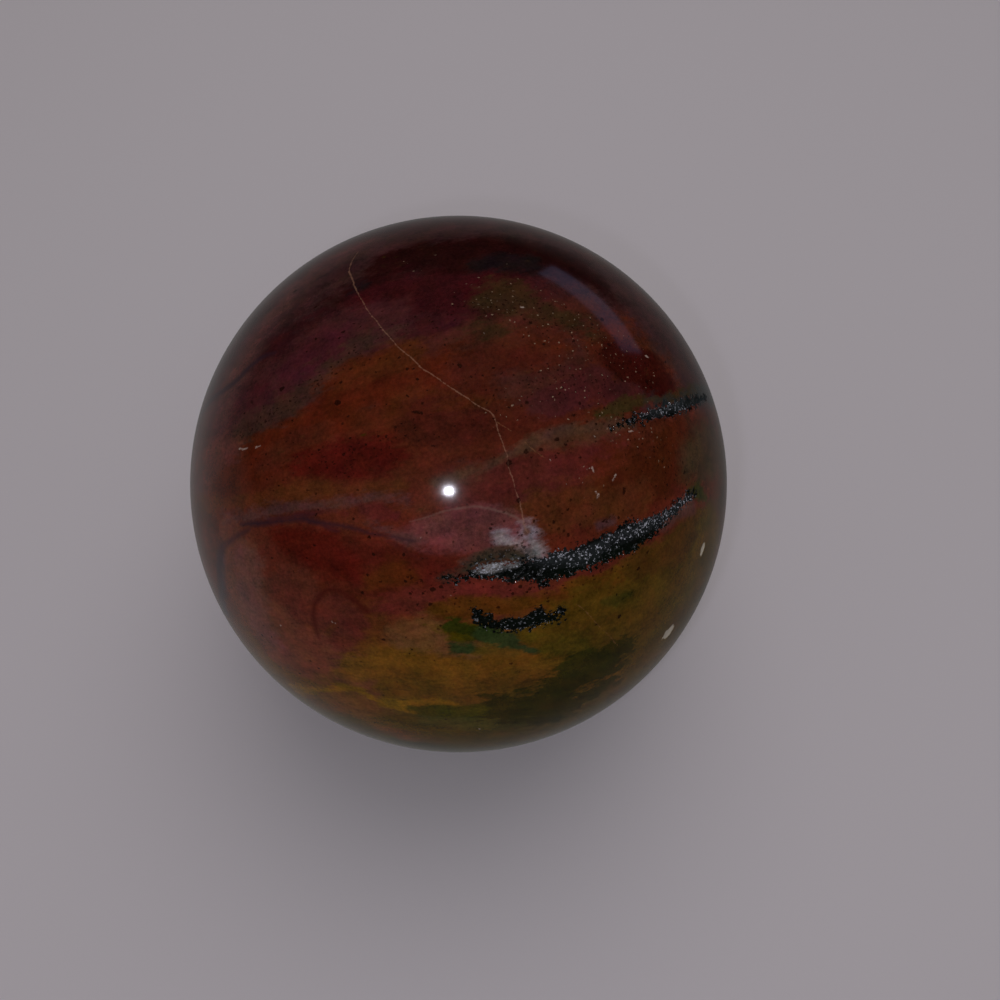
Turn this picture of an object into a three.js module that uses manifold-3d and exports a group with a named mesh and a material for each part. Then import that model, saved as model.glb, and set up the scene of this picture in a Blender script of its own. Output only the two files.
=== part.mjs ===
// Ocean jasper ball: one piece of banded jasper, ground round and polished.
//
// Millimetres, +Z up. The origin is the middle of the small flat that the ball rests on, and the
// centre of the ball is straight above it.
//
// The showing face of the stone is tipped up, toward a viewer who looks along +Y and down. Places on
// it are millimetres to the right of and above the middle of that face, and a place on the far half
// is given in the same way, as seen through the stone.

import * as THREE from 'three';
import { mergeVertices } from 'three/addons/utils/BufferGeometryUtils.js';
import Module from 'manifold-3d';

// The ball.
const BALL_DIAMETER = 55;
const BALL_RADIUS = BALL_DIAMETER / 2;
const BALL_DETAIL = 13;
const FACE_TILT = THREE.MathUtils.degToRad(60);

// The foot, a flat that takes up a cap of this half angle, seen from the centre of the ball.
const FOOT_HALF_ANGLE = THREE.MathUtils.degToRad(6);
const CENTRE_HEIGHT = BALL_RADIUS * Math.cos(FOOT_HALF_ANGLE);

// The coarse black seams, where grains broke out in grinding. Each point of a seam is
// [right, up, width of the seam there].
const NEAR = 1;
const FAR = -1;
const SEAMS = [
  {
    half: NEAR,
    points: [
      [0.8, -7.4, 0.7], [3.3, -6.8, 1.8], [6.6, -6.7, 2.0], [8.3, -6.4, 2.5], [11.7, -5.4, 2.5],
      [15.3, -4.2, 2.1], [18.2, -2.5, 1.0], [20.6, -1.0, 0.6],
    ],
  },
  { half: NEAR, points: [[15.0, 5.4, 0.6], [17.4, 6.6, 1.0], [19.6, 7.0, 1.4], [22.3, 7.8, 1.7], [25.1, 8.8, 1.7]] },
  { half: NEAR, points: [[1.6, -11.0, 0.8], [3.4, -11.6, 1.0], [6.2, -11.6, 1.1], [8.7, -11.3, 0.6]] },
  { half: FAR, points: [[24.2, 9.7, 1.6], [21.0, 10.2, 1.6], [16.0, 9.2, 1.2], [10.5, 7.9, 0.6]] },
  { half: FAR, points: [[-18.0, -5.4, 0.7], [-12.5, -7.2, 1.6], [-7.0, -8.0, 2.0], [0.5, -7.0, 0.8]] },
];

// Pits in the seams. Their sizes are parts of the seam's width, apart from the depth.
const PIT_SPACING = 1.3;
const PIT_LENGTH = [0.7, 1.3];
const PIT_WIDTH = [0.35, 0.65];
const PIT_DEPTH = [0.12, 0.32];
const PIT_STRAY = 0.5;
const PIT_SEED = 41;

// Chips knocked out of the polish: a round one low on the right and a narrow one near the right
// edge, both on the showing face, and one at the back.
const CHIPS = [
  { half: NEAR, right: 19.5, up: -13.7, long: 1.7, wide: 1.4, deep: 0.22, turn: 60 },
  { half: NEAR, right: 22.4, up: -5.9, long: 1.8, wide: 0.9, deep: 0.18, turn: 75 },
  { half: FAR, right: -9.0, up: 13.5, long: 1.6, wide: 1.1, deep: 0.2, turn: 20 },
];
const CHIP_DETAIL = 1;
const RAGGED = [0.82, 1.12];

const wasm = await Module();
wasm.setup();

THREE.MathUtils.seededRandom(PIT_SEED);

// A repeatable draw between the two ends of a range.
function between([low, high]) {
  return THREE.MathUtils.lerp(low, high, THREE.MathUtils.seededRandom());
}

// A closed geometry as a solid for joining and cutting.
function solidOf(geometry) {
  const bare = geometry.clone();
  bare.deleteAttribute('normal');
  bare.deleteAttribute('uv');
  const closed = mergeVertices(bare, 1e-5);
  return new wasm.Manifold(
    new wasm.Mesh({
      numProp: 3,
      vertProperties: Float32Array.from(closed.attributes.position.array),
      triVerts: Uint32Array.from(closed.index.array),
    }),
  );
}

function geometryOf(solid) {
  const { vertProperties, triVerts } = solid.getMesh();
  const geometry = new THREE.BufferGeometry();
  geometry.setAttribute('position', new THREE.BufferAttribute(vertProperties, 3));
  geometry.setIndex(new THREE.BufferAttribute(triVerts, 1));
  geometry.computeVertexNormals();
  return geometry;
}

// The direction from the centre of the ball out to a place on its showing face or its far half.
function outward(half, right, up) {
  const toward = half * Math.sqrt(BALL_RADIUS ** 2 - right ** 2 - up ** 2);
  const place = new THREE.Vector3(right, up, toward);
  return place.applyAxisAngle(new THREE.Vector3(1, 0, 0), Math.PI / 2 - FACE_TILT).normalize();
}

// A ragged hollow, centred on the skin of the ball. Its length lies along the heading.
function hollow(out, heading, { long, wide, deep, detail }) {
  const lump = mergeVertices(barePositions(new THREE.IcosahedronGeometry(1, detail)), 1e-5);
  const corners = lump.attributes.position;
  for (let i = 0; i < corners.count; i += 1) {
    const reach = between(RAGGED);
    corners.setXYZ(i, corners.getX(i) * reach, corners.getY(i) * reach, corners.getZ(i) * reach);
  }
  lump.scale(long / 2, wide / 2, deep);
  const across = new THREE.Vector3().crossVectors(out, heading).normalize();
  const along = new THREE.Vector3().crossVectors(across, out);
  const place = new THREE.Matrix4().makeBasis(along, across, out);
  place.setPosition(out.clone().multiplyScalar(BALL_RADIUS));
  return solidOf(lump.applyMatrix4(place));
}

function barePositions(geometry) {
  geometry.deleteAttribute('normal');
  geometry.deleteAttribute('uv');
  return geometry;
}

// The pits between two points of a seam.
function seamPits(half, [right0, up0, width0], [right1, up1, width1]) {
  const start = outward(half, right0, up0);
  const end = outward(half, right1, up1);
  const heading = end.clone().sub(start);
  const count = Math.max(1, Math.round((heading.length() * BALL_RADIUS) / PIT_SPACING));
  const pits = [];
  for (let i = 0; i < count; i += 1) {
    const share = (i + THREE.MathUtils.seededRandom()) / count;
    const width = THREE.MathUtils.lerp(width0, width1, share);
    const middle = start.clone().lerp(end, share).normalize();
    const across = new THREE.Vector3().crossVectors(middle, heading).normalize();
    const stray = (between([-1, 1]) * PIT_STRAY * width) / 2 / BALL_RADIUS;
    const out = middle.addScaledVector(across, stray).normalize();
    const size = {
      long: width * between(PIT_LENGTH),
      wide: width * between(PIT_WIDTH),
      deep: between(PIT_DEPTH),
      detail: 0,
    };
    pits.push(hollow(out, heading, size));
  }
  return pits;
}

function chip({ half, right, up, turn, ...size }) {
  const out = outward(half, right, up);
  const level = new THREE.Vector3().crossVectors(new THREE.Vector3(0, 0, 1), out);
  const heading = level.applyAxisAngle(out, THREE.MathUtils.degToRad(turn));
  return hollow(out, heading, { ...size, detail: CHIP_DETAIL });
}

// The block under the ball that leaves the foot flat.
function footCut() {
  const side = BALL_RADIUS;
  const block = new THREE.BoxGeometry(side, side, side);
  block.translate(0, 0, -CENTRE_HEIGHT - side / 2);
  return solidOf(block);
}

function jasperBall() {
  let stone = solidOf(new THREE.IcosahedronGeometry(BALL_RADIUS, BALL_DETAIL));
  for (const { half, points } of SEAMS) {
    for (let i = 1; i < points.length; i += 1) {
      for (const pit of seamPits(half, points[i - 1], points[i])) {
        stone = stone.subtract(pit);
      }
    }
  }
  for (const place of CHIPS) {
    stone = stone.subtract(chip(place));
  }
  stone = stone.subtract(footCut());
  const polishedStone = new THREE.MeshStandardMaterial({ color: '#5d2616', roughness: 0.08, metalness: 0 });
  const mesh = new THREE.Mesh(geometryOf(stone), polishedStone);
  mesh.name = 'jasper_ball';
  mesh.position.z = CENTRE_HEIGHT;
  return mesh;
}

const group = new THREE.Group();
group.add(jasperBall());

export default group;
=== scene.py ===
import math

import bmesh
import bpy
import numpy as np
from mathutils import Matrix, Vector, noise


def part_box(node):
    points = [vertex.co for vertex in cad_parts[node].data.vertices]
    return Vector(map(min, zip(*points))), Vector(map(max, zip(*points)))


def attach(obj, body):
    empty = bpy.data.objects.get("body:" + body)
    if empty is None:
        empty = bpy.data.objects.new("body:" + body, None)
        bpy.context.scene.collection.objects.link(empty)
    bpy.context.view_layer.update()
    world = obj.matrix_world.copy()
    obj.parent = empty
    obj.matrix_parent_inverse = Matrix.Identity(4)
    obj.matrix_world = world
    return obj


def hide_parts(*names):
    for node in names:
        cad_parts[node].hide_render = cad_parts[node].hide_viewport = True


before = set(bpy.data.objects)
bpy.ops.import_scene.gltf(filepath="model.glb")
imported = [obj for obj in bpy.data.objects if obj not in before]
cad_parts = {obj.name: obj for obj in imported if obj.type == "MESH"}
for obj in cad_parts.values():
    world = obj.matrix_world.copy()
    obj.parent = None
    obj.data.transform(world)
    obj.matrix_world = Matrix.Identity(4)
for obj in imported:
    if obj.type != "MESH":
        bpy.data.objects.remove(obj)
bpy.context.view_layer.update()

# The camera
# The stone is seen from 60 degrees above level, about four radii from its centre, and it lies a
# little left of the middle of the picture. The lens takes in about 51 degrees.

BALL = "jasper_ball"
low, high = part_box(BALL)
RADIUS = (high.x - low.x) / 2
CENTRE = Vector((0, 0, high.z - RADIUS))

FACE_TILT = math.radians(60)
RIGHT = Vector((1, 0, 0))
UP = Vector((0, math.sin(FACE_TILT), math.cos(FACE_TILT)))
TOWARD = Vector((0, -math.cos(FACE_TILT), math.sin(FACE_TILT)))

PICTURE_SIDE = 1000
FOCAL_PIXELS = 1048
BALL_PIXEL = (458.5, 484.0)
EYE_DISTANCE = 4.03 * RADIUS
SENSOR_MM = 36

lens = bpy.data.cameras.new("camera")
lens.sensor_width = SENSOR_MM
lens.lens = SENSOR_MM * FOCAL_PIXELS / PICTURE_SIDE
lens.shift_x = 0.5 - BALL_PIXEL[0] / PICTURE_SIDE
lens.shift_y = BALL_PIXEL[1] / PICTURE_SIDE - 0.5
lens.clip_start = 0.005
eye = bpy.data.objects.new("camera", lens)
bpy.context.scene.collection.objects.link(eye)
eye.location = CENTRE + TOWARD * EYE_DISTANCE
eye.rotation_euler = (-TOWARD).to_track_quat("-Z", "Y").to_euler()
bpy.context.scene.camera = eye

# The ball
# One piece of banded jasper, ground round between cups and polished. Its black seams are coarser
# than the rest and lost grains in grinding, so they are pitted. A small flat lets it stand.

MM = 0.001
NEAR, FAR = 1, -1

# A course is a line over the skin of the ball, on its showing face or on its far half. Each of its
# points is the mm to the right of and above the middle of that face, and the half width there.
MAIN_SEAM = [
    (NEAR, [(-1.0, -7.6, 0.12), (-0.6, -7.5, 0.25), (0.2, -7.5, 0.2), (1.0, -7.4, 0.25),
            (1.9, -7.1, 0.5), (3.3, -7.1, 0.65), (5.0, -7.0, 0.75), (6.6, -6.9, 0.96), (7.9, -6.7, 1.1),
            (9.3, -6.4, 1.09), (10.6, -5.9, 1.02), (12.0, -5.4, 1.22), (13.5, -4.9, 1.25), (14.9, -4.3, 1.2),
            (16.1, -3.8, 0.95), (17.2, -3.1, 0.68), (18.5, -2.3, 0.53), (19.7, -1.6, 0.45), (20.9, -0.8, 0.29)]),
    (NEAR, [(6.6, -7.3, 0.4), (6.9, -8.2, 0.25)]),
]
UPPER_SEAM = [
    (NEAR, [(12.6, 4.7, 0.02), (13.5, 5.0, 0.1), (14.4, 5.2, 0.22), (15.4, 5.5, 0.3), (16.4, 5.9, 0.38),
            (17.4, 6.2, 0.45), (18.7, 6.6, 0.5), (20.0, 7.0, 0.5), (21.6, 7.6, 0.35), (23.4, 8.2, 0.15)]),
    (FAR, [(24.4, 9.7, 0.45), (23.5, 9.6, 0.75), (22.5, 10.1, 0.5), (21.3, 10.4, 0.85), (20.0, 9.9, 0.5),
           (18.2, 9.8, 0.8), (16.4, 9.1, 0.45), (14.4, 8.8, 0.65), (12.4, 8.1, 0.3), (10.5, 7.9, 0.2)]),
]
LOWER_SEAM = [
    (NEAR, [(1.2, -10.4, 0.3), (1.6, -10.7, 0.5), (2.1, -11.2, 0.6), (3.2, -11.6, 0.45), (4.8, -11.6, 0.7),
            (5.8, -11.4, 0.7), (6.8, -10.6, 0.5)]),
    (NEAR, [(6.6, -11.2, 0.6), (7.4, -11.2, 0.55), (8.2, -11.0, 0.5), (8.4, -10.7, 0.4)]),
    (FAR, [(-18.0, -5.4, 0.3), (-12.5, -7.2, 0.8), (-7.0, -8.0, 1.0), (0.5, -7.0, 0.35)]),
]
BLACK_SEAMS = MAIN_SEAM + UPPER_SEAM + LOWER_SEAM

CHIPS = [
    {"half": NEAR, "place": (19.5, -13.7), "long": 1.7, "wide": 1.4, "deep": 0.22, "turn": 60},
    {"half": NEAR, "place": (22.4, -5.9), "long": 1.5, "wide": 0.7, "deep": 0.16, "turn": 75},
    {"half": FAR, "place": (-9.0, 13.5), "long": 1.6, "wide": 1.1, "deep": 0.2, "turn": 20},
]

# The beds of the jasper: iron reds and golds, with greener and paler quartz between. A few markings
# near the rim are painted reflection, one of them only in part; each is noted where it stands. Each
# marking is its colour, the softness and the raggedness of its edge in mm, and its courses. It is laid
# over the ones before it.
MARKINGS = {
    "maroon": ("#452a29", 2.5, 1.5, [
        (NEAR, [(-19.4, 14.4, 4.6), (-14.6, 18.3, 5.4), (-9.9, 20.6, 5.8), (-3.5, 22.3, 6), (3.8, 22.9, 6),
                (11.3, 21.2, 5.6), (16.9, 17.1, 5.4), (21.7, 11.1, 4.6)])]),
    "night_red": ("#2e1110", 1.8, 1.2, [
        (NEAR, [(-9.2, 16.7, 1.21), (-6.4, 18.7, 1.8), (-2.9, 19.8, 2.55), (1.0, 20.2, 2.97), (5.0, 20.7, 3.22),
                (9.1, 20.0, 2.68), (12.7, 18.0, 1.55)])]),
    "green_black": ("#211617", 0.8, 0.8, [
        (NEAR, [(1.7, 18.7, 0.56), (3.6, 19.4, 1.26), (5.2, 19.3, 1.3), (6.3, 19.6, 0.66)]),
        (NEAR, [(-9.4, 16.3, 0.58), (-8.7, 17.0, 0.74)]),
        (FAR, [(-14.0, 21.3, 0.5), (-10.0, 23.0, 1.0), (-6.0, 24.3, 0.6)])]),
    "crimson": ("#3e1417", 1.5, 1.2, [
        (NEAR, [(-10.1, 14.2, 0.52), (-8.2, 15.2, 1.29), (-5.0, 15.9, 2.23), (-1.6, 15.8, 2.38), (1.8, 16.3, 2.15),
                (4.2, 17.2, 0.99)]),
        (FAR, [(-18.0, 17.2, 1), (-12.0, 20.9, 1.8), (-5.0, 23.4, 2), (2.0, 24.6, 1.6), (8.0, 24.6, 0.8)])]),
    "vivid_crimson": ("#431216", 0.8, 0.8, [(NEAR, [(-9.4, 14.3, 0.51), (-8.2, 15.1, 0.65)]),
                                            (NEAR, [(1.0, 16.4, 0.72), (3.1, 17.1, 0.75)])]),
    "plum": ("#421a1e", 0.9, 0.8, [(NEAR, [(-3.8, 12.7, 0.62), (-2.2, 13.0, 0.93), (0.0, 13.4, 0.72)]),
                                   (NEAR, [(-6.8, 15.3, 0.58), (-5.3, 15.0, 0.68)])]),
    "dusty_mauve": ("#4b2526", 1.4, 1.0, [
        (NEAR, [(-21.3, 5.8, 2.27), (-18.2, 7.5, 2.34), (-14.8, 9.3, 2.54), (-10.8, 11.7, 2.62), (-7.4, 13.6, 1.62),
                (-4.9, 14.2, 0.9)]),
        (FAR, [(-23.5, 10.8, 1.4), (-18.0, 15.6, 1.8), (-11.0, 19.9, 1.6), (-4.0, 22.3, 1)]),
        (FAR, [(4.0, 23.2, 0.6), (11.0, 22.9, 1.3), (17.0, 20.6, 1.5), (20.5, 17.9, 1.2)])]),
    "purple_red": ("#4c2026", 1.0, 0.8, [
        (NEAR, [(-14.9, 9.4, 0.76), (-13.3, 10.4, 1.34), (-11.3, 11.3, 1.84), (-9.8, 11.7, 0.99)]),
        (NEAR, [(-20.4, 6.8, 0.83), (-17.0, 8.3, 0.81)]),
        (FAR, [(-16.0, 16.4, 0.6), (-12.0, 18.7, 1.1), (-8.0, 20.5, 0.8)])]),
    # Painted reflection haze: a paler mauve band just inside the upper left rim, not a bed of the stone.
    "painted_rim_haze_mauve": ("#5c3532", 2.0, 1.0, [
        (NEAR, [(-25.6, 1.5, 1.0), (-23.6, 4.6, 1.9), (-21.2, 8.6, 2.1), (-18.6, 13.2, 1.8), (-14.4, 18.4, 1.2),
                (-9.0, 22.6, 0.8)])]),
    # Painted reflection haze: a paler brown band that follows the upper right rim, not a bed of the stone.
    "painted_rim_haze_brown": ("#4c2b24", 2.2, 1.0, [
        (NEAR, [(4.4, 25.4, 0.8), (10.8, 23.4, 1.8), (16.5, 19.8, 2.2), (21.0, 14.9, 2.2), (23.6, 11.2, 1.4)])]),
    "grey_strip": ("#4a2e26", 1.0, 1.2, [
        (NEAR, [(-19.3, 4.6, 0.68), (-17.3, 5.7, 0.82), (-14.7, 6.5, 0.64), (-12.8, 7.4, 0.64), (-11.1, 8.8, 0.75),
                (-9.4, 10.3, 0.85), (-7.8, 11.6, 0.96), (-6.1, 12.6, 0.86), (-4.6, 13.2, 0.4)]),
        (FAR, [(-22.0, 10.6, 0.6), (-17.0, 14.8, 0.8), (-11.0, 18.7, 0.7), (-5.0, 21.0, 0.8), (1.0, 22.6, 0.6)])]),
    "orange_field": ("#582211", 1.2, 1.0, [
        (NEAR, [(-17.1, 2.5, 1.42), (-14.1, 3.7, 1.57), (-10.6, 5.9, 1.72), (-7.6, 7.8, 1.86), (-3.9, 8.8, 2.17),
                (-0.7, 9.1, 2.32)]),
        (FAR, [(-24.5, 5.5, 1.4), (-18.0, 12.6, 2), (-10.0, 17.7, 2.2), (-1.0, 21.0, 2.2), (7.0, 21.6, 1.8),
               (13.0, 20.7, 1.2)])]),
    "left_rose": ("#66362e", 1.4, 0.9, [(NEAR, [(-24.8, -0.8, 1.3), (-22.8, 1.8, 1.8), (-20.2, 3.2, 1.0)])]),
    "orange_patch": ("#5a2a14", 1.2, 0.8, [(NEAR, [(-9.4, 8.6, 0.78), (-7.1, 9.5, 1.15), (-4.4, 10.0, 1.12)]),
                                           (NEAR, [(-4.7, 6.9, 1.02), (-1.5, 6.7, 1.18), (0.9, 5.9, 0.83)]),
                                           (FAR, [(14.0, 19.3, 0.8), (18.0, 17.8, 1.2), (21.0, 15.6, 0.8)])]),
    "deep_red": ("#571912", 0.9, 0.7, [
        (NEAR, [(-13.1, 1.8, 0.67), (-10.5, 1.8, 1.15), (-7.8, 2.1, 1.47), (-5.3, 2.3, 1.13)]),
        (FAR, [(-19.0, 9.6, 1.2), (-12.0, 14.0, 1.8), (-5.0, 17.0, 2), (2.0, 18.7, 1.3)])]),
    "red_dusk": ("#5d2718", 0.8, 0.8, [(NEAR, [(-16.7, 1.2, 0.84), (-13.2, 3.7, 0.57), (-10.5, 4.4, 0.44)])]),
    "olive_gold": ("#402b1a", 1.4, 1.2, [(NEAR, [(2.5, 15.5, 0.7), (4.8, 15.6, 1.57), (6.9, 14.9, 1.22),
                                                 (9.1, 14.3, 0.75)]),
                                         (NEAR, [(2.1, 12.7, 0.81), (3.6, 12.7, 0.92)]),
                                         (NEAR, [(10.8, 13.1, 0.74), (11.7, 12.8, 0.75)])]),
    "red_brown": ("#522116", 1.5, 1.2, [
        (NEAR, [(0.9, 9.1, 1.79), (5.0, 9.1, 2.53), (9.2, 9.3, 2.36), (11.9, 10.3, 1.44)]),
        (NEAR, [(-2.3, 4.7, 1.47), (2.5, 4.2, 1.63), (6.6, 5.2, 1.64)]),
        (FAR, [(6.0, 19.2, 1.5), (12.0, 18.9, 2), (18.0, 17.0, 1.5)])]),
    "dusk_brown": ("#502821", 1.2, 1.0, [(NEAR, [(4.0, 8.0, 0.53), (5.8, 7.8, 1.21), (8.0, 8.7, 0.83),
                                                 (10.2, 11.1, 0.67)])]),
    "dark_red": ("#41140e", 0.9, 0.8, [
        (NEAR, [(12.4, 11.6, 0.6), (14.3, 10.6, 1.8), (15.9, 9.6, 2.4), (17.6, 8.9, 2.2)]),
        (FAR, [(9.0, 18.2, 1), (14.0, 17.8, 1.6), (18.0, 15.9, 1.1)])]),
    "crimson_right": ("#4f2322", 0.8, 0.8, [
        (NEAR, [(6.4, 6.3, 0.7), (8.8, 7.2, 1.4), (11.0, 8.2, 1.7), (13.2, 7.6, 1.2), (15.6, 7.3, 0.5)])]),
    "olive_streak": ("#43331a", 0.35, 0.5, [
        (NEAR, [(11.5, 5.7, 0.25), (13.1, 6.3, 0.46), (15.4, 7.0, 0.35), (18.0, 7.5, 0.28), (21.0, 8.3, 0.4),
                (23.6, 9.0, 0.7)]),
        (FAR, [(24.0, 8.6, 0.6), (18.0, 8.4, 0.5), (12.0, 7.0, 0.3)])]),
    "tan": ("#5a3a2c", 0.5, 0.5, [
        (NEAR, [(3.7, 2.2, 0.2), (5.3, 2.9, 0.32), (7.2, 3.9, 0.49), (9.5, 4.4, 0.5), (12.1, 4.6, 0.59),
                (14.6, 5.0, 0.43)]),
        (FAR, [(24.0, 11.0, 0.5), (19.0, 11.4, 0.7), (13.0, 10.0, 0.6), (7.0, 8.8, 0.4)])]),
    "grey_tan": ("#5a3c31", 0.35, 0.3, [(NEAR, [(6.7, 3.7, 0.24), (7.9, 4.3, 0.36), (9.5, 4.8, 0.25)])]),
    "gold_tan": ("#5b3727", 0.4, 0.3, [(NEAR, [(6.4, 2.7, 0.24), (7.9, 3.2, 0.28), (10.8, 3.6, 0.33),
                                               (13.0, 3.9, 0.25)])]),
    "faint_olive": ("#5a3b2b", 0.6, 0.4, [(NEAR, [(-1.5, 0.1, 0.45), (0.9, 0.8, 0.55), (2.7, 1.5, 0.5),
                                                  (3.9, 2.1, 0.35)])]),
    "crimson_pink": ("#5d2721", 1.0, 0.8, [
        (NEAR, [(0.3, -1.4, 0.48), (2.5, -0.6, 1.12), (4.9, 0.3, 1.6), (7.8, 1.3, 1.62), (10.7, 2.1, 1.15),
                (13.6, 3.0, 0.67)]),
        (FAR, [(-4.0, 15.0, 0.8), (3.0, 16.5, 1.5), (10.0, 16.2, 1.7), (16.0, 14.6, 1.2), (21.0, 12.3, 0.8)])]),
    "orange_right": ("#532412", 1.5, 1.2, [
        (NEAR, [(11.6, -0.2, 1.35), (15.2, 1.2, 2.27), (19.9, 2.8, 2.33), (23.0, 4.0, 2), (25.6, 4.6, 1.8)])]),
    "orange_low": ("#61321b", 1.1, 0.9, [(NEAR, [(6.1, -2.2, 0.97), (9.0, -1.9, 1.47), (12.5, -1.8, 1.34),
                                                 (15.7, -1.2, 0.88)])]),
    # Painted reflection haze: a greyer brown that widens out toward the right rim.
    "painted_rim_haze_right": ("#4e3824", 2.4, 1.0, [
        (NEAR, [(20.4, 2.2, 0.8), (22.6, 2.6, 2), (25.6, 2.8, 2.8)]), (NEAR, [(22.0, -1.6, 0.6), (25.0, -2.0, 1.6)])]),
    "gold": ("#62321a", 0.6, 0.4, [
        (NEAR, [(-27.5, -2.4, 0.4), (-26.6, -1.9, 0.45), (-21.9, -1.7, 0.54), (-19.0, -1.6, 0.7), (-16.1, -1.4, 1.02),
                (-13.1, -0.9, 0.91), (-9.6, -0.6, 0.65), (-6.7, -0.3, 0.48), (-4.5, -0.2, 0.24)]),
        (FAR, [(-27.5, -2.4, 0.4), (-26.2, -0.6, 0.6), (-22.5, 4.2, 0.9), (-18.0, 8.0, 0.8), (-12.0, 11.6, 0.6),
               (-5.0, 13.8, 0.3)])]),
    "lilac_grey": ("#5f3934", 0.6, 0.5, [
        (NEAR, [(-20.7, -3.2, 0.36), (-18.5, -2.9, 0.4), (-15.9, -2.4, 0.36), (-13.1, -1.9, 0.3),
                (-9.6, -1.4, 0.26), (-6.3, -1.2, 0.3), (-4.2, -1.3, 0.3)])]),
    # Painted dark reflection: a violet band along the lower left rim, not a bed of the stone.
    "violet_shadow": ("#46343e", 0.8, 0.5, [
        (NEAR, [(-19.6, -4.6, 0.2), (-20.8, -5.8, 0.6), (-21.6, -7.4, 0.8), (-22.0, -9.5, 0.6), (-22.6, -12.0, 0.3)])]),
    "crimson_streak": ("#5e2723", 0.4, 0.3, [(NEAR, [(-13.5, -2.5, 0.18), (-11.3, -2.2, 0.29), (-9.2, -2.3, 0.2)]),
                                             (NEAR, [(-7.8, -1.9, 0.41), (-6.3, -2.3, 0.65), (-5.1, -2.6, 0.41)])]),
    "pink_mauve": ("#77403f", 0.8, 0.5, [
        (NEAR, [(-4.7, -4.2, 0.33), (-2.7, -4.1, 1.14), (-0.3, -3.7, 1.62), (2.1, -3.5, 1.62), (4.1, -3.7, 1.05)]),
        (FAR, [(-9.0, 10.9, 0.7), (-3.0, 13.4, 1.4), (4.0, 14.7, 1.7), (10.0, 14.6, 1.1), (14.0, 13.8, 0.5)])]),
    "rose": ("#703b3a", 0.6, 0.4, [(NEAR, [(-0.3, -2.9, 0.64), (2.5, -3.0, 0.64)]),
                                   (NEAR, [(-2.7, -5.3, 0.33), (0.5, -5.1, 0.41), (2.5, -5.0, 0.33)])]),
    "lavender": ("#5c3836", 0.6, 0.5, [(NEAR, [(-7.0, -3.5, 0.2), (-5.5, -3.8, 0.4), (-4.0, -4.3, 0.35),
                                               (-3.1, -4.6, 0.1)])]),
    "pink_thread": ("#5c2522", 0.2, 0.15, [(NEAR, [(-5.9, -4.6, 0.13), (-4.7, -5.1, 0.21), (-3.7, -5.8, 0.25),
                                                   (-2.3, -6.1, 0.17)])]),
    "red_field": ("#5f2217", 1.3, 0.9, [
        (NEAR, [(-13.2, -5.1, 1.36), (-10.6, -6.3, 1.66), (-7.2, -6.8, 2.1), (-3.1, -7.1, 1.71), (-0.7, -6.6, 0.84)]),
        (FAR, [(-3.0, 11.2, 1.2), (4.0, 12.7, 1.5), (10.0, 12.5, 1.1)])]),
    "vivid_red": ("#5b1b12", 0.9, 0.7, [
        (NEAR, [(-15.5, -4.4, 0.39), (-13.9, -4.8, 1.05), (-11.9, -5.5, 1.5), (-9.9, -6.2, 1.4), (-8.7, -7.0, 0.94)]),
        (FAR, [(-20.0, 3.6, 0.8), (-14.0, 7.6, 1.6), (-8.0, 10.6, 1.2)])]),
    "olive_orange": ("#5d2c12", 0.8, 0.5, [(NEAR, [(-7.2, -7.8, 0.51), (-5.4, -7.3, 0.86), (-4.1, -7.8, 0.71)])]),
    # Its colour is partly the stone's own pink and partly painted reflection haze from the lower left rim.
    "pink_with_painted_haze": ("#753f2c", 1.2, 0.8, [
        (NEAR, [(-19.7, -6.3, 2.19), (-18.7, -9.4, 3.47), (-17.5, -12.1, 3.72), (-14.9, -14.2, 4.03),
                (-11.2, -15.5, 3.08), (-9.6, -18.2, 2.33)]),
        (FAR, [(-25.0, -7.0, 2), (-21.5, -12.5, 3), (-16.5, -18.0, 3), (-9.0, -23.0, 2)])]),
    "pink_pale": ("#78473e", 1.4, 0.9, [(NEAR, [(-18.6, -6.6, 1.27), (-18.6, -10.3, 1.91), (-17.7, -13.1, 1.73)])]),
    "swirl_mauve": ("#652e23", 0.8, 0.5, [
        (NEAR, [(-11.7, -11.7, 0.86), (-10.6, -10.1, 0.97), (-8.9, -11.5, 1.2), (-10.1, -13.2, 0.85)])]),
    "red_brown_low": ("#6a3224", 1.0, 0.7, [(NEAR, [(-15.8, -9.1, 1.12), (-13.4, -8.5, 1.63), (-13.5, -10.9, 1.16)])]),
    "salmon_red": ("#6d2d23", 0.9, 0.6, [
        (NEAR, [(-6.6, -10.0, 0.73), (-4.4, -9.7, 1.17), (-2.7, -9.4, 1.16), (0.9, -8.9, 1.07), (5.0, -8.8, 0.99),
                (8.0, -8.7, 0.73)]),
        (FAR, [(-18.0, 3.1, 0.8), (-12.0, 7.0, 1.1), (-5.0, 10.1, 1.2), (2.0, 11.6, 1), (9.0, 11.2, 0.6)])]),
    "salmon": ("#622a1d", 0.7, 0.7, [
        (NEAR, [(7.6, -8.5, 0.5), (8.7, -8.4, 0.7), (11.8, -7.5, 0.85), (15.4, -6.3, 0.95), (17.5, -5.0, 0.9),
                (19.6, -3.6, 0.85), (21.2, -2.1, 0.84)])]),
    "gold_orange": ("#633912", 0.6, 0.5, [
        (NEAR, [(-2.3, -10.4, 0.37), (0.9, -10.0, 0.64), (4.2, -10.0, 0.65), (7.1, -9.7, 0.76), (9.6, -9.1, 0.88),
                (12.7, -8.4, 1.04), (16.4, -7.2, 1.15)]),
        (FAR, [(-13.0, 4.9, 0.6), (-7.0, 7.9, 0.9), (0.0, 10.0, 0.9), (6.0, 10.6, 0.7)])]),
    "peach": ("#774e2c", 1.0, 0.7, [
        (NEAR, [(-5.0, -12.6, 0.83), (-3.2, -12.9, 1.76), (-1.0, -13.6, 1.25), (1.0, -14.2, 0.85)]),
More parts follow.
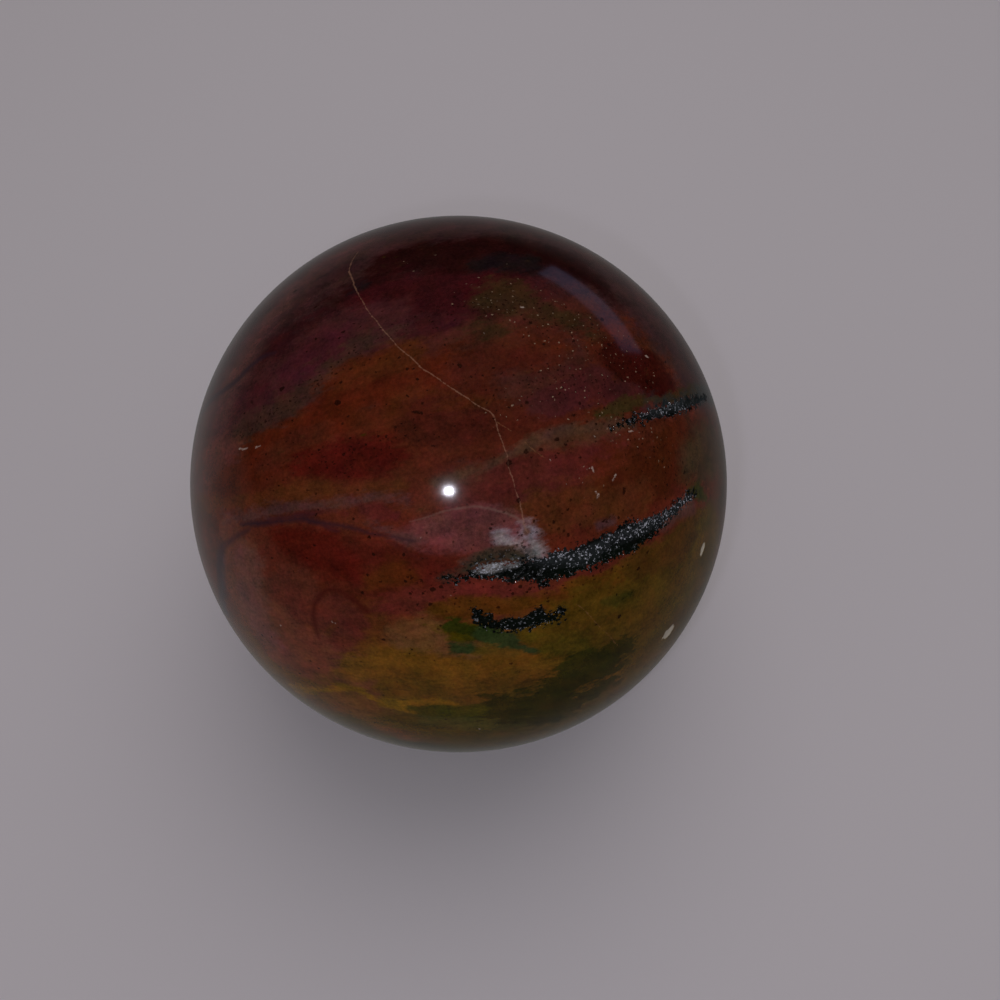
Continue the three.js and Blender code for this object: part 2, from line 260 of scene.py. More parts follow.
        (FAR, [(-9.0, 3.6, 0.9), (-3.0, 5.6, 1.5), (3.0, 6.4, 0.8)])]),
    "peach_right": ("#634a18", 0.8, 0.6, [(NEAR, [(1.6, -13.8, 0.64), (3.5, -13.8, 0.84), (5.2, -14.4, 0.63)]),
                                          (NEAR, [(5.3, -17.2, 0.68), (7.5, -16.9, 0.84)])]),
    "golden_olive": ("#5d4412", 1.4, 1.0, [
        (NEAR, [(8.5, -11.5, 1.71), (12.8, -10.2, 2.27), (17.6, -8.9, 3.5), (22.1, -6.6, 4.66)]),
        (NEAR, [(10.3, -13.3, 1.65), (16.0, -12.9, 4), (21.6, -10.8, 5.25)]),
        (FAR, [(-19.0, -2.4, 2), (-13.0, 2.8, 2.4), (-5.0, 5.6, 2.6), (4.0, 7.4, 2.4), (12.0, 6.6, 2.2),
               (19.0, 4.0, 2.4), (23.0, 0.0, 2.6)])]),
    "olive_deep_right": ("#563812", 1.0, 0.8, [(NEAR, [(15.1, -7.0, 0.85), (17.8, -6.2, 1.27), (20.6, -4.4, 1.28)])]),
    "ochre": ("#795016", 1.1, 0.9, [
        (NEAR, [(-9.4, -16.3, 0.76), (-6.2, -15.4, 1.45), (-1.6, -16.1, 1.93), (3.5, -16.1, 1.97), (7.8, -15.4, 1.78)]),
        (FAR, [(-14.0, -1.0, 1), (-7.0, 2.9, 1.9), (1.0, 5.2, 2), (8.0, 5.6, 1.4)])]),
    "mustard": ("#5e4112", 0.8, 0.7, [(NEAR, [(1.7, -17.7, 0.81), (3.6, -17.3, 1.06), (6.2, -17.9, 0.83)]),
                                      (NEAR, [(-5.0, -16.8, 0.66), (-2.4, -17.7, 0.81)])]),
    "ochre_mid": ("#604c13", 0.8, 0.7, [(NEAR, [(5.1, -12.2, 0.76), (7.2, -13.1, 0.99), (10.4, -14.0, 0.86)])]),
    "brown_pink": ("#744a22", 1.6, 1.0, [
        (NEAR, [(-12.6, -20.2, 2.13), (-9.7, -19.1, 1.99), (-7.5, -21.0, 2.6), (-4.9, -22.5, 2.3)])]),
    "olive_brown": ("#5b4614", 1.8, 1.2, [(NEAR, [(-5.3, -21.4, 1.79), (-0.8, -22.2, 3), (6.6, -22.7, 4.5)]),
                                          (FAR, [(-16.0, -14.0, 3), (-6.0, -10.5, 4), (6.0, -8.0, 4), (17.0, -10.0, 3)])]),
    "grey_olive_low": ("#544a1c", 1.0, 0.7, [(NEAR, [(-2.5, -20.8, 0.93), (1.0, -21.2, 1.16), (5.5, -21.2, 1.28)])]),
    "deep_green": ("#3b3207", 0.8, 1.8, [
        (NEAR, [(8.9, -18.1, 2.0), (11.2, -16.9, 2.7), (13.2, -15.5, 2.1), (14.4, -14.7, 1.0)]),
        (NEAR, [(2.8, -19.4, 0.7), (6.3, -19.8, 1.6), (10.2, -20.0, 2.3), (12.6, -19.2, 2.0)]),
        (FAR, [(-20.0, -10.0, 2), (-12.0, -3.5, 2), (-3.0, -0.5, 1.8), (6.0, 1.2, 1.8), (14.0, -0.5, 2), (21.0, -5.0, 2)])]),
    "moss": ("#38330a", 0.7, 0.7, [(NEAR, [(10.2, -15.6, 1), (11.6, -15.1, 0.92), (12.8, -15.9, 0.54)])]),
    "yellow": ("#8a6012", 0.4, 0.5, [
        (NEAR, [(-15.2, -19.4, 0.7), (-12.0, -18.6, 0.6), (-9.6, -18.0, 0.6), (-8.2, -18.4, 0.5),
                (-7.1, -19.2, 0.6), (-5.2, -19.5, 0.8), (-3.3, -19.5, 0.9), (-1.0, -19.2, 0.6)]),
        (FAR, [(-2.0, 7.2, 0.4), (3.0, 8.0, 0.7), (7.0, 7.2, 0.5), (10.5, 6.0, 0.3)])]),
    "green": ("#504608", 0.5, 0.6, [
        (NEAR, [(-2.7, -11.5, 0.24), (-1.0, -11.8, 0.53), (0.6, -12.3, 0.79), (1.9, -12.5, 0.6)]),
        (NEAR, [(-4.1, -19.7, 0.34), (-2.0, -19.9, 0.83), (0.1, -19.9, 0.66), (1.9, -19.6, 0.32)]),
        (FAR, [(-8.0, 0.7, 0.4), (-4.0, 2.7, 1), (0.0, 3.5, 0.9), (3.0, 3.8, 0.3)])]),
    "vivid_green": ("#363a0e", 0.4, 0.6, [(NEAR, [(-0.6, -11.6, 0.35), (0.6, -12.0, 0.45), (1.8, -12.1, 0.35)]),
                                           (FAR, [(-4.5, 2.4, 0.3), (-2.5, 3.1, 0.5), (-0.5, 3.3, 0.3)])]),
    "teal": ("#384220", 0.4, 0.45, [
        (NEAR, [(2.4, -12.3, 0.6), (3.9, -12.8, 0.6), (4.9, -13.4, 0.25), (6.2, -14.0, 0.25)]),
        (NEAR, [(-0.3, -13.8, 0.32), (1.0, -13.6, 0.21)]),
        (FAR, [(5.5, 3.4, 0.5), (8.5, 3.0, 0.5)])]),
    "green_tint": ("#4d4012", 0.5, 0.4, [(NEAR, [(12.4, -10.0, 0.33), (13.4, -9.7, 0.68), (14.3, -9.4, 0.35)])]),
    "olive_end": ("#3d3a14", 0.5, 0.4, [(NEAR, [(20.4, -0.7, 0.35), (21.4, -0.7, 0.53), (22.4, -1.3, 0.45)])]),
    "pink_end": ("#5e3730", 0.5, 0.3, [(NEAR, [(19.5, -2.4, 0.33), (20.7, -2.1, 0.4)])]),
    "violet_grey": ("#633a3c", 0.4, 0.3, [(NEAR, [(11.6, -3.3, 0.35), (12.7, -3.1, 0.35)])]),
    "whitish": ("#a6989e", 1.0, 0.6, [
        (NEAR, [(3.5, -4.5, -0.1), (4.1, -4.9, 0.05), (4.7, -5.2, 0.2), (5.5, -5.5, 0.25)]),
        (NEAR, [(5.6, -3.7, -0.2), (5.8, -4.3, 0.0), (6.1, -5.0, 0.2), (6.2, -5.5, 0.25)]),
        (FAR, [(-11.0, -5.8, 0.4), (-8.0, -6.3, 0.6), (-5.5, -6.6, 0.5)])]),
    "olive_halo": ("#6f4e42", 0.3, 0.3, [(NEAR, [(5.5, -4.0, 0.1), (5.6, -3.8, 0.15)])]),
    "seam_halo": ("#5f3e35", 0.4, 0.3, [(NEAR, [(0.3, -6.3, 0.21), (1.7, -5.8, 0.33), (3.3, -5.5, 0.33),
                                                (5.0, -5.8, 0.33)]),
                                        (NEAR, [(17.4, -3.3, 0.46), (20.4, -1.4, 0.54)])]),
}

# Thin lines: the crack, healed with pale quartz, and the joins where one bed ends against another.
# Two courses of the violet lines, by the left rim, are painted edges of a dark reflection. Each is its
# colour, the softness of its edge in mm, how fully it covers, and its courses.
LINES = {
    "crack": ("#a87c64", 0.03, 0.42, [
        (NEAR, [(-9.2, 21.4, 0.05), (-9.5, 20.7, 0.04), (-9.7, 19.8, 0.05), (-9.7, 18.9, 0.06), (-9.4, 18.1, 0.07),
                (-8.9, 16.9, 0.05), (-8.4, 16.0, 0.03), (-7.7, 14.8, 0.03), (-6.7, 13.4, 0.04), (-5.8, 12.3, 0.04),
                (-4.8, 11.2, 0.03), (-3.9, 10.3, 0.03), (-2.9, 9.4, 0.04), (-1.7, 8.6, 0.03), (-0.7, 7.8, 0.04),
                (0.3, 7.2, 0.03), (1.6, 6.3, 0.04), (2.5, 5.9, 0.04), (3.0, 5.1, 0.03), (3.2, 4.2, 0.04),
                (3.6, 3.2, 0.03), (3.9, 2.3, 0.02), (4.0, 1.4, 0.03), (4.4, 0.3, 0.03), (4.6, -0.6, 0.03),
                (4.9, -1.6, 0.03), (5.1, -2.4, 0.05), (5.3, -3.4, 0.06), (5.6, -3.9, 0.05)])]),
    "crack_branches": ("#9a6a48", 0.03, 0.35, [
        (NEAR, [(3.0, 5.1, 0.03), (3.6, 4.6, 0.03), (4.3, 4.2, 0.02)]),
        (NEAR, [(5.3, 3.4, 0.02), (6.2, 2.6, 0.03), (7.0, 2.1, 0.02)]),
        (NEAR, [(9.8, -10.0, 0.03), (10.7, -10.7, 0.04), (11.9, -12.1, 0.02), (12.9, -13.0, 0.03),
                (14.0, -14.2, 0.02)])]),
    "violet": ("#35202a", 0.22, 0.85, [
        (NEAR, [(-19.0, -3.5, 0.11), (-17.8, -3.4, 0.26), (-16.1, -3.3, 0.21), (-14.5, -3.1, 0.18),
                (-13.1, -2.9, 0.2), (-11.8, -3.1, 0.2), (-10.3, -3.3, 0.15), (-8.8, -3.5, 0.13), (-7.0, -4.0, 0.1),
                (-5.1, -4.3, 0.08), (-3.7, -4.6, 0.05)]),
        # This course, just inside the upper left rim, is the painted edge of a dark reflection; the far course after it
        # carries the line on over the back.
        (NEAR, [(-27.5, 2.6, 0.4), (-26.9, 3.2, 0.5), (-25.5, 5.1, 0.5), (-25.0, 6.5, 0.5), (-23.7, 7.6, 0.4),
                (-22.0, 8.4, 0.35), (-20.2, 9.2, 0.35), (-18.8, 10.3, 0.3), (-17.4, 11.2, 0.25), (-16.0, 11.5, 0.12)]),
        (FAR, [(-27.5, 2.6, 0.4), (-25.6, 4.6, 0.45), (-21.0, 9.6, 0.35), (-15.0, 14.2, 0.3), (-9.0, 17.3, 0.2)])]),
    "violet_loop": ("#42222a", 0.2, 0.7, [
        (NEAR, [(-16.1, -3.0, 0.12), (-14.5, -2.8, 0.13), (-13.1, -2.6, 0.12), (-11.8, -2.5, 0.07)]),
        (NEAR, [(-11.2, -3.4, 0.12), (-10.3, -3.7, 0.12), (-9.7, -3.8, 0.07)]),
        # This course, along the lower left rim, is the painted edge of the dark reflection painted just below in the
        # markings.
        (NEAR, [(-18.0, -3.9, 0.14), (-19.1, -4.4, 0.2), (-20.1, -5.0, 0.28), (-21.2, -5.8, 0.4), (-21.8, -7.1, 0.5),
                (-22.2, -8.9, 0.5), (-22.6, -11.0, 0.45), (-23.0, -13.4, 0.3)]),
        (FAR, [(0.0, 17.0, 0.1), (6.0, 17.9, 0.25), (12.0, 17.0, 0.25), (18.0, 14.2, 0.1)])]),
    "dark_swirl": ("#4e1a14", 0.25, 0.8, [
        (NEAR, [(-12.0, -13.2, 0.15), (-12.3, -11.2, 0.25), (-11.8, -9.6, 0.2), (-10.5, -8.7, 0.15), (-9.0, -9.3, 0.2),
                (-7.6, -10.5, 0.35)])]),
    "lilac": ("#8a6a60", 0.1, 0.5, [
        (NEAR, [(-3.9, -3.0, 0.0), (-2.7, -2.7, 0.02), (-1.3, -2.2, 0.04), (0.1, -1.9, 0.06),
                (1.7, -1.8, 0.08), (3.1, -2.1, 0.08), (4.3, -2.5, 0.08), (5.0, -2.9, 0.1), (5.5, -3.7, 0.12)]),
        (FAR, [(-11.0, 11.4, 0.06), (-5.0, 14.6, 0.12), (2.0, 16.3, 0.12), (9.0, 16.0, 0.1), (14.0, 14.6, 0.06)])]),
}

# Where grains of other kinds lie thick: dark iron specks, dust of pale quartz, quartz druse in the black
# seams, greener black beside them and mottled grey green along the top of the main one. Two zones are
# painted light: painted glints in the black seams, and a painted reflection haze, smooth grey green,
# over the end of the upper one.
ZONES = {
    "speckled": [
        (NEAR, [(-19.3, 4.6, 0.8), (-14.7, 6.5, 0.8), (-11.1, 8.8, 1), (-7.8, 11.4, 1.2), (-4.2, 13.1, 0.8),
                (-0.7, 14.0, 0.85)]),
        (NEAR, [(-3.4, -8.4, 0.8), (0.0, -8.5, 0.9), (5.0, -8.6, 0.8), (9.0, -8.2, 0.6), (14.5, -6.6, 0.6)]),
        (NEAR, [(2.0, -4.8, 0.5), (6.5, -4.2, 0.9), (10.0, -3.6, 1.2), (13.5, -2.8, 0.9)]),
        (NEAR, [(-16.7, 1.0, 0.72), (-13.1, 1.8, 1.02), (-9.2, 2.1, 1.16), (-5.5, 3.5, 1)]),
        (NEAR, [(7.0, 2.6, 0.32), (10.8, 4.4, 0.82), (14.4, 5.0, 1.02), (18.2, 6.0, 1.05)]),
        (NEAR, [(15.3, 3.0, 1.63), (18.4, 1.2, 1.79)]),
        (NEAR, [(1.0, 14.9, 1.35), (6.0, 14.5, 1.87), (11.2, 12.7, 2.01), (15.7, 9.7, 2.19)]),
        (NEAR, [(3.3, 6.9, 1), (8.3, 8.5, 2), (13.5, 8.0, 2)]),
        (NEAR, [(-4.0, 4.6, 0.6), (-1.5, 4.2, 0.5)]),
        (FAR, [(-22.0, 9.6, 0.8), (-15.0, 15.2, 1.2), (-6.0, 19.6, 1.2), (4.0, 21.4, 0.9)]),
        (FAR, [(24.0, 8.0, 0.8), (17.0, 8.0, 1.2), (9.0, 7.0, 0.8)]),
        (FAR, [(-16.0, -8.5, 0.5), (-8.0, -10.2, 0.9), (2.0, -8.6, 0.6)])],
    "dusty": [
        (NEAR, [(-4.8, 18.6, 0.7), (-3.2, 18.9, 0.9), (-1.6, 19.4, 0.7)]), (NEAR, [(4.2, 19.6, 0.5), (5.8, 19.8, 0.6)]),
        (NEAR, [(1.0, 15.9, 1.18), (5.2, 15.0, 2.62), (10.2, 12.1, 3.09), (14.7, 9.9, 2.55)]),
        (NEAR, [(3.5, 6.0, 1.0), (9.2, 7.7, 1.6), (13.0, 4.9, 1.2), (17.2, 2.9, 1.2)]),
        (NEAR, [(10.3, 0.7, 0.89), (11.6, -0.8, 0.72)]), (FAR, [(-4.0, 16.0, 1.5), (8.0, 13.0, 2.5)])],
    "druse": [
        (NEAR, [(1.5, -6.8, 0.15), (2.4, -6.7, 0.3), (3.4, -6.5, 0.35), (4.5, -6.4, 0.2)]),
        (FAR, [(-11.0, -7.2, 0.3), (-8.0, -7.6, 0.5), (-5.0, -7.7, 0.3)])],
    # Painted glints: where the seams' crystal faces catch the light, a grey sheen and pale dots are painted.
    "painted_glints": [
        (NEAR, [(6.0, -6.0, 0.25), (8.8, -6.0, 0.5), (10.6, -5.7, 0.5), (12.2, -5.1, 0.45)]),
        (NEAR, [(12.2, -4.5, 0.3), (14.2, -4.2, 0.5), (16.0, -3.4, 0.5), (17.8, -2.7, 0.39), (20.4, -1.2, 0.26)]),
        (NEAR, [(15.4, 5.8, 0.17), (17.4, 6.5, 0.35), (20.1, 7.3, 0.36)])],
    "greener_black": [(NEAR, [(8.3, -7.2, 0.54), (10.0, -6.8, 0.55), (11.7, -6.3, 0.57), (14.0, -5.7, 0.49),
                              (16.3, -4.8, 0.42)]), (NEAR, [(2.0, -11.0, 0.5), (8.0, -11.3, 0.6)])],
    "grey_green_edge": [(NEAR, [(-1.2, -7.5, 0.2), (0.5, -7.0, 0.35), (1.7, -6.2, 0.45), (3.7, -5.9, 0.4),
                                (5.8, -5.8, 0.25)])],
    # Painted reflection haze over the end of the upper seam, by the rim.
    "seam_end_painted_haze": [
        (NEAR, [(19.6, 7.3, 0.2), (21.0, 7.8, 0.6), (22.9, 8.3, 1.0), (24.6, 8.7, 0.9), (25.9, 9.3, 0.35)]),
        (FAR, [(25.9, 9.3, 0.35), (25.4, 9.8, 0.3), (24.0, 10.2, 0.2)]),
        (NEAR, [(16.2, 6.7, 0.05), (17.4, 7.2, 0.25), (18.6, 7.6, 0.2)])],
}

# Single dark specks, and pale flecks on the showing face, as courses of one point or of a few. The pale
# flecks are partly painted glints of tiny pits and partly dust.
DARK_SPECKS = [
    (0.1, 9.6, 0.2), (-4.2, 9.4, 0.14), (-3.7, 9.4, 0.14), (-9.0, 5.5, 0.15), (-12.2, 12.4, 0.14), (-12.9, 11.3, 0.12),
    (-10.0, 12.3, 0.12), (-3.3, 8.5, 0.12), (-2.5, 7.6, 0.12), (-4.1, 7.1, 0.17), (-5.8, 6.4, 0.12),
    (-6.8, 6.3, 0.12), (-7.7, 6.8, 0.1), (-1.1, 11.4, 0.16), (-3.0, 11.2, 0.13), (1.0, 8.7, 0.12), (5.5, 6.6, 0.16),
    (1.7, 4.3, 0.12), (-13.9, 5.3, 0.14), (-8.8, 3.7, 0.12), (-5.8, 3.9, 0.14), (-7.5, 3.2, 0.13), (-6.8, 2.9, 0.12),
    (-9.2, 1.5, 0.1), (7.2, -1.8, 0.13), (7.7, -3.1, 0.16), (9.9, -3.3, 0.15), (8.9, -4.1, 0.16), (2.7, -3.2, 0.11),
    (3.6, -2.2, 0.11), (13.3, -2.8, 0.14), (10.8, 6.4, 0.14), (12.1, 6.3, 0.14), (9.4, 5.6, 0.14),
    (-11.7, -2.5, 0.12), (-8.5, -2.8, 0.1), (-4.4, -5.7, 0.13), (-2.9, -6.0, 0.12), (-6.9, -5.7, 0.15),
    (-7.4, -7.4, 0.15), (-7.9, -8.9, 0.17), (-3.9, -8.9, 0.16), (-2.9, -8.9, 0.15), (-2.1, -8.5, 0.24),
    (-1.4, -8.3, 0.2), (-4.3, -7.9, 0.15), (-3.8, -7.6, 0.16), (-3.4, -8.0, 0.13), (-3.0, -7.8, 0.15),
    (-0.3, -9.7, 0.15), (-2.3, -9.8, 0.18), (-3.3, -9.8, 0.12), (-6.2, -13.0, 0.16), (-4.0, -12.3, 0.12),
    (-3.9, -13.8, 0.12), (-4.4, -12.7, 0.1), (-4.1, -14.2, 0.11), (-0.4, -4.6, 0.11), (4.8, -1.3, 0.2),
    (4.0, 1.7, 0.26), (5.4, 2.6, 0.22), (-17.8, -13.7, 0.18), (-10.2, -12.1, 0.12), (-1.5, -11.6, 0.12),
    (-15.9, -6.3, 0.11), (-13.9, -7.4, 0.11), (5.0, -8.3, 0.2), (5.8, -8.5, 0.16), (4.4, -8.9, 0.14), (6.1, -3.0, 0.13),
    (6.7, -4.0, 0.12), (1.4, -2.3, 0.1), (-2.6, -3.9, 0.1), (-1.2, -4.1, 0.1), (2.9, 2.1, 0.12), (1.8, 2.0, 0.1),
    (4.7, -4.9, 0.12), (5.1, -5.0, 0.1),
]
PALE_GLINTS_AND_DUST = [
    [(-19.2, 3.1, 0.1), (-18.7, 3.0, 0.14), (-18.2, 3.1, 0.1)], [(-17.4, 3.1, 0.1), (-16.9, 3.25, 0.12)],
    [(10.5, 1.2, 0.1), (10.9, 1.35, 0.13), (11.1, 0.9, 0.1)], [(11.2, -0.6, 0.13), (11.5, -0.8, 0.1), (11.3, -1.05, 0.12)],
    [(12.7, 0.3, 0.1), (13.0, 0.75, 0.13)], [(14.3, 4.4, 0.12), (14.7, 4.5, 0.12)], [(11.2, 3.9, 0.14)],
    [(5.2, 14.9, 0.12), (5.6, 14.9, 0.13)], [(10.4, 9.7, 0.13)], [(1.9, -22.1, 0.14)], [(8.7, 0.0, 0.12)],
    [(9.5, -1.75, 0.11)], [(10.1, 0.1, 0.1)], [(-15.6, -12.4, 0.12)], [(4.0, 3.7, 0.1)], [(-18.2, -13.4, 0.12)],
    [(-3.0, -4.3, 0.1)], [(16.4, 11.2, 0.13), (16.8, 11.1, 0.1)], [(2.1, 12.4, 0.1)], [(2.5, 14.8, 0.1)],
    [(-10.7, -11.6, 0.12), (-10.4, -11.7, 0.1)], [(7.4, 1.9, 0.1)], [(-0.6, -9.0, 0.1)],
]
SPOTS = {
    "dark_specks": [(NEAR, [spot]) for spot in DARK_SPECKS] + [(NEAR, [(-3.6, 5.8, 0.14), (-3.0, 5.7, 0.16)])],
    "pale_glints_and_dust": [(NEAR, points) for points in PALE_GLINTS_AND_DUST],
}

FIELD_REACH = 3.0
COURSE_STEP = 0.7


def on_skin(half, right, up):
    """A place on the ball, in mm from its centre: right, up and toward the viewer of the showing face."""
    return np.array([right, up, half * math.sqrt(max(0.0, (RADIUS / MM) ** 2 - right**2 - up**2))])


def course_line(half, points):
    """The points of a smooth line over the skin through the points of a course, each with its half width."""
    marks = np.array([[*on_skin(half, right, up), width] for right, up, width in points])
    if len(marks) == 1:
        return np.vstack([marks, marks])
    marks = np.vstack([2 * marks[0] - marks[1], marks, 2 * marks[-1] - marks[-2]])
    line = []
    for before, start, end, after in zip(marks, marks[1:], marks[2:], marks[3:]):
        steps = max(1, math.ceil(np.linalg.norm(end[:3] - start[:3]) / COURSE_STEP))
        for t in np.arange(steps) / steps:
            line.append((2 * start + (end - before) * t + (2 * before - 5 * start + 4 * end - after) * t**2
                         + (3 * start - before - 3 * end + after) * t**3) / 2)
    line = np.array([*line, marks[-2]])
    line[:, :3] *= RADIUS / MM / np.linalg.norm(line[:, :3], axis=1, keepdims=True)
    return line


def stretches(skin, courses):
    """For each short stretch of some courses: its two ends, the places of the skin near it, and how far
    along it each of those lies."""
    for half, points in courses:
        line = course_line(half, points)
        for start, end in zip(line, line[1:]):
            reach = FIELD_REACH + COURSE_STEP + max(start[3], end[3])
            close = np.flatnonzero(((skin - start[:3]) ** 2).sum(axis=1) < reach**2)
            run = end[:3] - start[:3]
            yield start, end, close, (skin[close] - start[:3]) @ run / max(run @ run, 1e-9)


def inside(skin, courses):
    """How far inside the nearest of some courses each place of the skin lies, in mm, below nought outside."""
    depth = np.full(len(skin), -FIELD_REACH)
    for start, end, close, along in stretches(skin, courses):
        share = np.clip(along, 0, 1)[:, None]
        gap = np.linalg.norm(skin[close] - start[:3] - share * (end[:3] - start[:3]), axis=1)
        depth[close] = np.maximum(depth[close], start[3] + share[:, 0] * (end[3] - start[3]) - gap)
    return depth


def beside(skin, courses):
    """How far to the side of the nearest of some thin lines each place of the skin lies, to its left above
    nought, and the half width of the line there. Well away from any line its width falls below nought."""
    side = np.full(len(skin), FIELD_REACH)
    width = np.full(len(skin), -FIELD_REACH)
    nearest = np.full(len(skin), FIELD_REACH)
    for start, end, close, along in stretches(skin, courses):
        run = end[:3] - start[:3]
        share = np.clip(along, 0, 1)
        gap = np.linalg.norm(skin[close] - start[:3] - share[:, None] * run, axis=1)
        closer = gap < nearest[close]
        close, along, share, gap = close[closer], along[closer], share[closer], gap[closer]
        nearest[close] = gap
        left = np.cross(start[:3], run)
        side[close] = (skin[close] - start[:3]) @ left / np.linalg.norm(left)
        past_end = np.abs(along - share) * np.linalg.norm(run)
        width[close] = start[3] + share * (end[3] - start[3]) - past_end - 2 * np.maximum(0, gap - 0.6)
    return side, width


def skin_places(mesh):
    """The points of the ball's mesh, in mm right, up and toward the viewer from its centre."""
    places = np.array([vertex.co for vertex in mesh.verts]) / MM
    return places @ np.array([RIGHT, UP, TOWARD]).T


def chip_depth(skin, chip):
    """How deep a chip cuts at each place of the skin, in mm."""
    middle = on_skin(chip["half"], *chip["place"])
    out = middle / np.linalg.norm(middle)
    level = np.cross([0, 1, 0], out)
    level /= np.linalg.norm(level)
    steep = np.cross(out, level)
    turn = math.radians(chip["turn"])
    along = (skin - middle) @ (level * math.cos(turn) + steep * math.sin(turn)) / (chip["long"] / 2)
    across = (skin - middle) @ (steep * math.cos(turn) - level * math.sin(turn)) / (chip["wide"] / 2)
    toward = (skin - middle) @ out
    ragged = np.array([0.35 * noise.noise(Vector(place) * 1.6) + 0.2 * noise.noise(Vector(place) * 4) if near else 0
                       for place, near in zip(skin, toward > -1)])
    share = 1 - np.sqrt(along**2 + across**2) + ragged
    return np.where(toward > -1, chip["deep"] * np.clip(share * 2.2, 0, 1) ** 0.7, 0)


def grow_finer(mesh, wanted):
    """Splits the faces that touch any of the wanted points, and brings the new points out to the skin."""
    mesh.verts.ensure_lookup_table()
    chosen = {mesh.verts[index] for index in np.flatnonzero(wanted)}
    edges = {edge for face in mesh.faces if any(v in chosen for v in face.verts) for edge in face.edges}
    bmesh.ops.subdivide_edges(mesh, edges=list(edges), cuts=1, use_grid_fill=True)
    bmesh.ops.triangulate(mesh, faces=[face for face in mesh.faces if len(face.verts) > 3])
    for vertex in mesh.verts:
        vertex.co *= RADIUS / vertex.co.length


FINE_BALL = 7
THIN_MARKING = 0.6
thin = [(half, points) for _, _, _, courses in MARKINGS.values() for half, points in courses
        if min(width for _, _, width in points) < THIN_MARKING and max(width for _, _, width in points) < 1]
spots = SPOTS["dark_specks"] + SPOTS["pale_glints_and_dust"]

stone = bmesh.new()
bmesh.ops.create_icosphere(stone, subdivisions=FINE_BALL, radius=RADIUS)
for margin in (1.4, 0.7):
    places = skin_places(stone)
    near_chip = sum(chip_depth(places, {**chip, "long": 2 * chip["long"], "wide": 2 * chip["wide"]}) for chip in CHIPS)
    wanted = (inside(places, BLACK_SEAMS) > -margin) | (near_chip > 0) | (inside(places, spots) > -margin / 2)
    if margin == 1.4:
        wanted |= inside(places, thin) > -0.4
    grow_finer(stone, wanted)

# The grains of a black seam are 0.2 to 0.6 mm across. Each stands or is missing, so the seam is
# rough all over and a few tenths of a millimetre deep at its pits.
GRAIN_MM = 0.42
PIT_MM = 1.1
SEAM_SINK = 0.05
GRAIN_RELIEF = 0.1
PIT_DEPTH = 0.28


def ragged_edge(place):
    """How far a seam's edge strays at a place, in mm."""
    wide = noise.noise(Vector(place) * 0.9)
    fine = noise.noise(Vector(place) * 2.6)
    grain = noise.noise(Vector(place) * 6.5)
    return 0.25 * wide + 0.35 * fine + 0.35 * grain


places = skin_places(stone)
seam = inside(places, BLACK_SEAMS)
for index in np.flatnonzero(seam > -2):
    seam[index] += ragged_edge(places[index])
sink = np.zeros(len(places))
for index in np.flatnonzero(seam > 0):
    place = Vector(places[index])
    rough = noise.voronoi(place / GRAIN_MM)[0][0]
    pit = noise.noise(place / PIT_MM + Vector((7, 3, 1)))
    bite = min(1.0, seam[index] / 0.25)
    sink[index] = bite * (SEAM_SINK + GRAIN_RELIEF * rough + PIT_DEPTH * max(0.0, pit - 0.05) * 1.6)
chipped = sum(chip_depth(places, chip) for chip in CHIPS)
for index in np.flatnonzero(chipped > 0):
    chipped[index] *= 0.75 + 0.5 * noise.noise(Vector(places[index]) / GRAIN_MM)
stone.verts.ensure_lookup_table()
for index in np.flatnonzero(sink + chipped > 0):
    vertex = stone.verts[index]
    vertex.co *= 1 - (sink[index] + chipped[index]) * MM / RADIUS

marks = stone.verts.layers.float.new("seam")
chip_marks = stone.verts.layers.float.new("chip")
for vertex, black, chip in zip(stone.verts, seam, chipped):
    vertex[marks] = black
    vertex[chip_marks] = chip
for face in stone.faces:
    face.smooth = max(vertex[marks] for vertex in face.verts) <= 0
    face.smooth &= max(vertex[chip_marks] for vertex in face.verts) <= 0

foot_height = -CENTRE.z
cut = bmesh.ops.bisect_plane(stone, geom=stone.verts[:] + stone.edges[:] + stone.faces[:], dist=1e-8,
                             plane_co=(0, 0, foot_height), plane_no=(0, 0, 1), clear_inner=True)
rim = [edge for edge in cut["geom_cut"] if isinstance(edge, bmesh.types.BMEdge)]
foot = bmesh.ops.contextual_create(stone, geom=rim)["faces"]
bmesh.ops.triangulate(stone, faces=foot)
bmesh.ops.recalc_face_normals(stone, faces=stone.faces)

skin = skin_places(stone)
skin *= RADIUS / MM / np.linalg.norm(skin, axis=1, keepdims=True)
fields = {name: inside(skin, courses) for name, (_, _, _, courses) in MARKINGS.items()}
fields |= {name: inside(skin, courses) for name, courses in (ZONES | SPOTS).items()}
for name, (_, _, _, courses) in LINES.items():
    fields[name + "_side"], fields[name + "_width"] = beside(skin, courses)

# The beds rise and fan out to the right across the showing face. At its rim they fold over and
# dip, so all of them come up again on the far half, where they sway a little.
BED_RISE = 0.24
BED_FAN = 0.008
BED_DIP = 0.9
FOLD_MM = 3
right, up, toward = skin.T
behind = (toward - np.sqrt(toward**2 + FOLD_MM**2)) / 2
far_share = np.clip(-toward / (RADIUS / MM), 0, 1)
sway = 1.4 * np.sin(right / 6.5 + 1.2) + 0.9 * np.sin(up / 3.9 + right / 9)
fields["bed"] = up - (BED_RISE + BED_FAN * up) * right + BED_DIP * behind + far_share * sway

bmesh.ops.translate(stone, verts=stone.verts, vec=CENTRE)
ball_mesh = bpy.data.meshes.new("polished_ball")
stone.to_mesh(ball_mesh)
stone.free()
